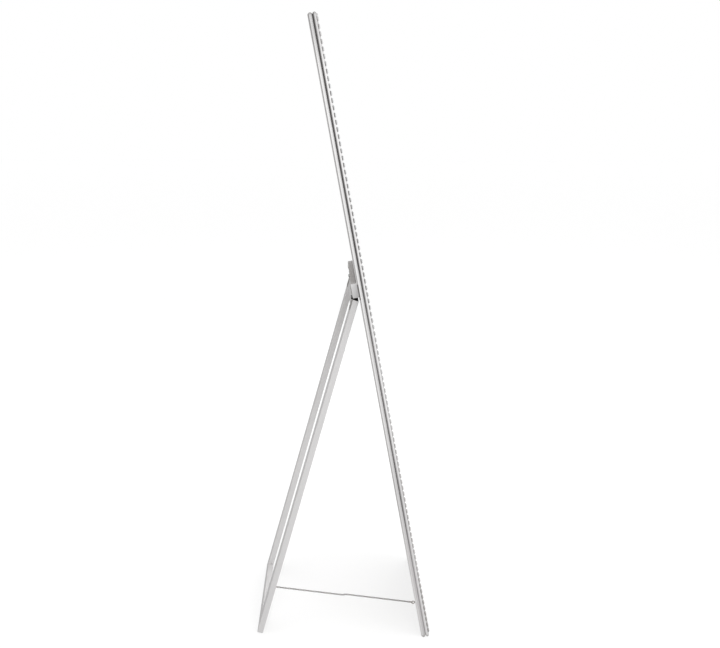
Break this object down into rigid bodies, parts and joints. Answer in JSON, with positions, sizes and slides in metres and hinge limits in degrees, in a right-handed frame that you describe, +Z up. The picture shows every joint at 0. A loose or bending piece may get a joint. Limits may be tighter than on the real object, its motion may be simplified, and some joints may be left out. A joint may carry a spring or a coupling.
{
  "type": "standing mirror",
  "caption": "Full-length mirror in a moulded silver frame with a trim of cut-glass tiles, leaning on a hinged easel leg that a safety chain holds open.",
  "frame": {"origin": "centre of the footprint on the floor, under the middle of the object's box", "axes": "+Z up; +Y from the mirror's front to the easel leg, so the glass faces -Y; +X to the right seen from the front"},
  "size_m": [0.43, 0.461, 1.5762],
  "materials": {
    "silver_moulding": "wood moulding under silver leaf and clear lacquer",
    "cut_glass": "cut glass tiles with silvered backs",
    "mirror_glass": "silvered float glass",
    "fibreboard": "hardboard with a pale grey film",
    "silver_paint": "satin silver-grey paint on board",
    "beech": "plain beech dowel",
    "zinc_steel": "zinc-plated steel",
    "hinge_steel": "rolled hinge steel",
    "chain_steel": "plated chain wire"
  },
  "bodies": {
    "mirror": {"left_stile": "silver_moulding", "right_stile": "silver_moulding", "top_rail": "silver_moulding", "bottom_rail": "silver_moulding", "left_trim": "cut_glass", "right_trim": "cut_glass", "top_trim": "cut_glass", "bottom_trim": "cut_glass", "mirror_glass": "mirror_glass", "backing_board": "fibreboard", "board_points": "zinc_steel", "corner_plates": "zinc_steel", "corner_screws": "zinc_steel", "hinge_header": "silver_paint", "header_screws": "zinc_steel", "left_fixed_leaf": "hinge_steel", "right_fixed_leaf": "hinge_steel", "hinge_pins": "hinge_steel", "fixed_leaf_screws": "zinc_steel", "chain_eye": "zinc_steel"},
    "leg": {"left_leg_rail": "silver_paint", "right_leg_rail": "silver_paint", "leg_top_crossbar": "silver_paint", "leg_bottom_crossbar": "silver_paint", "leg_dowels": "beech", "left_moving_leaf": "hinge_steel", "right_moving_leaf": "hinge_steel", "moving_leaf_screws": "zinc_steel", "chain_screw": "zinc_steel", "chain_washer": "zinc_steel"},
    "front_chain": {"front_chain": "chain_steel"},
    "rear_chain": {"rear_chain": "chain_steel", "chain_end_ring": "chain_steel"}
  },
  "joints": [
    {"name": "leg_fold", "type": "hinge", "parent": "mirror", "child": "leg", "pos_m": [0, -0.02342, 0.91084], "axis": [-1, 0, 0], "range_deg": [0, 26.1]},
    {"name": "front_chain_fold", "type": "hinge", "parent": "mirror", "child": "front_chain", "pos_m": [-0.1193, -0.19285, 0.0462], "axis": [1, 0, 0], "range_deg": [0, 72.8]},
    {"name": "rear_chain_fold", "type": "hinge", "parent": "leg", "child": "rear_chain", "pos_m": [-0.1242, 0.19209, 0.10336], "axis": [-1, 0, 0], "range_deg": [0, 84.2]}
  ],
  "couplings": [
    {"joint": "front_chain_fold", "follows": "leg_fold", "ratio": 2.787},
    {"joint": "rear_chain_fold", "follows": "leg_fold", "ratio": 3.224}
  ]
}
